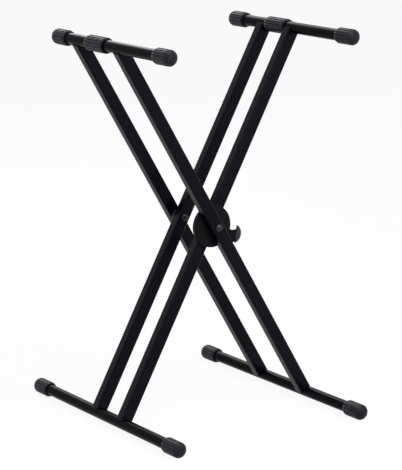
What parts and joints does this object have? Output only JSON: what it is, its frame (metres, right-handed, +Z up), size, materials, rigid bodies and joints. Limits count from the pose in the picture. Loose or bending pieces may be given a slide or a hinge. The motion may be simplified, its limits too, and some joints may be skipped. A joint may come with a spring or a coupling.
{
  "type": "keyboard stand",
  "caption": "Folding double-braced X stand of black steel tube for a keyboard, with ribbed rubber caps and sleeves and a round toothed lock with a sprung finger lever.",
  "frame": {"origin": "on the floor under the middle of the overall box, midway between the foot bars and under the middle of the outer foot bar", "axes": "+Z up, -Y the front with the lock, +X to the right seen from the front; the bars lie along Y"},
  "size_m": [0.495, 0.623, 0.8517],
  "materials": {
    "gloss_paint": "gloss black powder coat on steel tube",
    "leg_paint": "satin black powder coat on steel tube",
    "rubber": "matt black moulded rubber",
    "black_plastic": "fine-grained black moulding",
    "grip_plastic": "dark grey moulding",
    "nylon": "black nylon",
    "dark_steel": "dark finished steel",
    "zinc": "zinc plated steel"
  },
  "bodies": {
    "outer_frame": {"outer_top_bar": "gloss_paint", "outer_foot_bar": "gloss_paint", "outer_front_leg": "leg_paint", "outer_rear_leg": "leg_paint", "outer_top_cap_front": "rubber", "outer_top_cap_rear": "rubber", "outer_foot_cap_front": "rubber", "outer_foot_cap_rear": "rubber", "outer_top_sleeve": "rubber", "front_pivot_bolt": "dark_steel", "front_pivot_washer": "zinc", "front_pivot_nut": "zinc", "rear_pivot_bolt": "dark_steel", "rear_pivot_washer": "zinc", "rear_pivot_nut": "zinc", "rear_spacer": "nylon", "friction_washer": "nylon", "lock_housing": "black_plastic", "housing_screw_upper": "zinc", "housing_screw_lower": "zinc", "lever_pin": "zinc", "lever_spring": "zinc"},
    "inner_frame": {"inner_top_bar": "gloss_paint", "inner_foot_bar": "gloss_paint", "inner_front_leg": "leg_paint", "inner_rear_leg": "leg_paint", "inner_top_cap_front": "rubber", "inner_top_cap_rear": "rubber", "inner_foot_cap_front": "rubber", "inner_foot_cap_rear": "rubber", "inner_top_sleeve": "rubber", "front_pivot_bush": "nylon", "rear_pivot_bush": "nylon", "lock_plate": "dark_steel", "plate_rivet_upper": "zinc", "plate_rivet_lower": "zinc"},
    "release_lever": {"lever_blade": "leg_paint", "lever_grip": "grip_plastic"}
  },
  "joints": [
    {"name": "fold", "type": "hinge", "parent": "outer_frame", "child": "inner_frame", "pos_m": [0, -0.008, 0.42495], "axis": [0, 1, 0], "range_deg": [-53, 48]},
    {"name": "lever", "type": "hinge", "parent": "outer_frame", "child": "release_lever", "pos_m": [0.02516, -0.07405, 0.39551], "axis": [0, 1, 0], "range_deg": [0, 12], "stiffness_Nm_per_rad": 0.5, "springref_deg": -17.19, "deforming": ["lever_spring"]}
  ]
}
